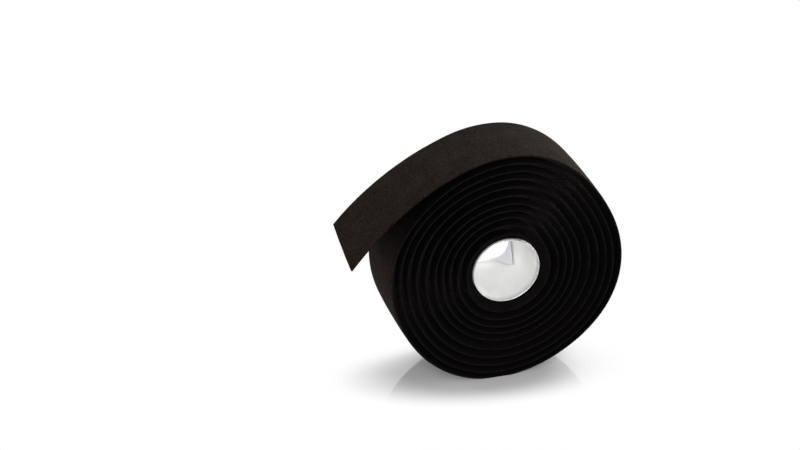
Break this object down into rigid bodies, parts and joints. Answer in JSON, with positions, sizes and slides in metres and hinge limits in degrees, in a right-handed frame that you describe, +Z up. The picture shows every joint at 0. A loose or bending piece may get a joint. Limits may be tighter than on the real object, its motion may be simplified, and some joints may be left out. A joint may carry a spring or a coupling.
{
  "type": "handlebar tape roll",
  "caption": "Soft handlebar tape wound into a roll that stands on its edge, its loose end lifting off the top and a thin sleeve lining the open bore.",
  "frame": {"origin": "middle of the small flat spot the roll stands on, under its axis and half way across the tape's width", "axes": "+Z up, Y along the roll's axis with the spiral face that the picture shows towards -Y, the loose end towards -X"},
  "size_m": [0.1049, 0.03, 0.0917],
  "materials": {
    "tape": "matte fine-grained foam with a suede-like skin",
    "sleeve": "semi-gloss white, thin rolled sheet"
  },
  "bodies": {
    "root": {"tape_roll": "tape", "core_sleeve": "sleeve"}
  },
  "joints": []
}
